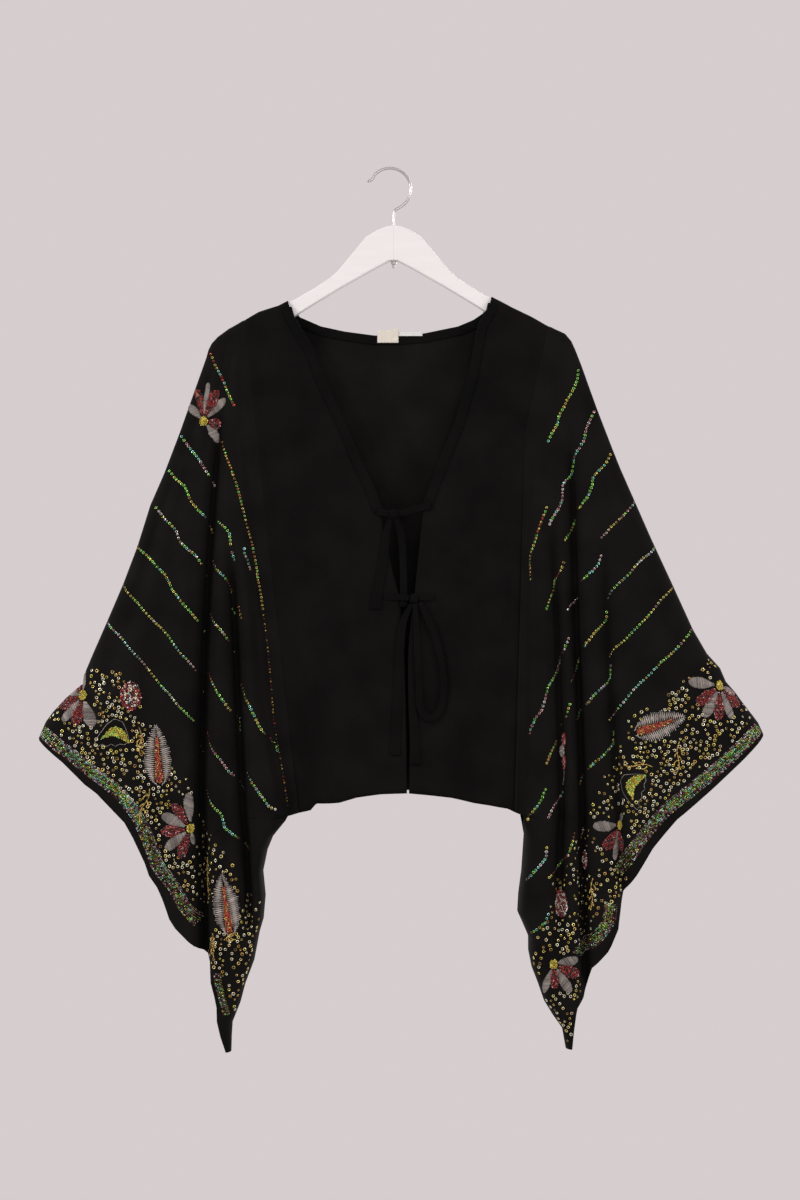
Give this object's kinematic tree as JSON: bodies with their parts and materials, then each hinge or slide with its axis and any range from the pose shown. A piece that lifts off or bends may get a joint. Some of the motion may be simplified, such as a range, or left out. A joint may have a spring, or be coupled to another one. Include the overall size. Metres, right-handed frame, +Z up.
{
  "type": "sari blouse on a hanger",
  "caption": "Open-fronted black blouse with a V neck, two tie closures and wide draped sleeves with sequin rows and embroidered cuffs, on a wooden hanger.",
  "frame": {"origin": "the hook seat: the inner face of the hook straight above its stem, where a rail carries it", "axes": "+Z up, the front of the blouse faces -Y, +X to the right as seen from the front"},
  "size_m": [0.9036, 0.0732, 1.1045],
  "materials": {
    "chrome": "polished chrome plate on steel wire",
    "painted_wood": "satin white paint on wood",
    "black_crepe": "matte black crepe, thin, with a fine crinkled weave",
    "sequins": "iridescent ring sequins in green, gold, pink and teal",
    "gold_beads": "small gold beads and sequins",
    "silver_thread": "silver and taupe satin stitch",
    "red_beads": "dark red and coral glass beads",
    "cream_tape": "bare cream cotton label",
    "white_tape": "narrow folded white tape"
  },
  "bodies": {
    "root": {"hook": "chrome", "hook_end": "chrome", "hanger": "painted_wood", "back": "black_crepe", "front_left": "black_crepe", "front_right": "black_crepe", "sleeve_left": "black_crepe", "sleeve_right": "black_crepe", "neck_band_left": "black_crepe", "neck_band_right": "black_crepe", "neck_band_back": "black_crepe", "tie_upper_strap_left": "black_crepe", "tie_upper_strap_right": "black_crepe", "tie_upper_tail_left": "black_crepe", "tie_upper_tail_right": "black_crepe", "tie_upper_knot": "black_crepe", "tie_lower_strap_left": "black_crepe", "tie_lower_strap_right": "black_crepe", "tie_lower_loop": "black_crepe", "tie_lower_tail_left": "black_crepe", "tie_lower_tail_right": "black_crepe", "tie_lower_knot": "black_crepe", "label": "cream_tape", "label_strip": "white_tape"}
  },
  "joints": []
}
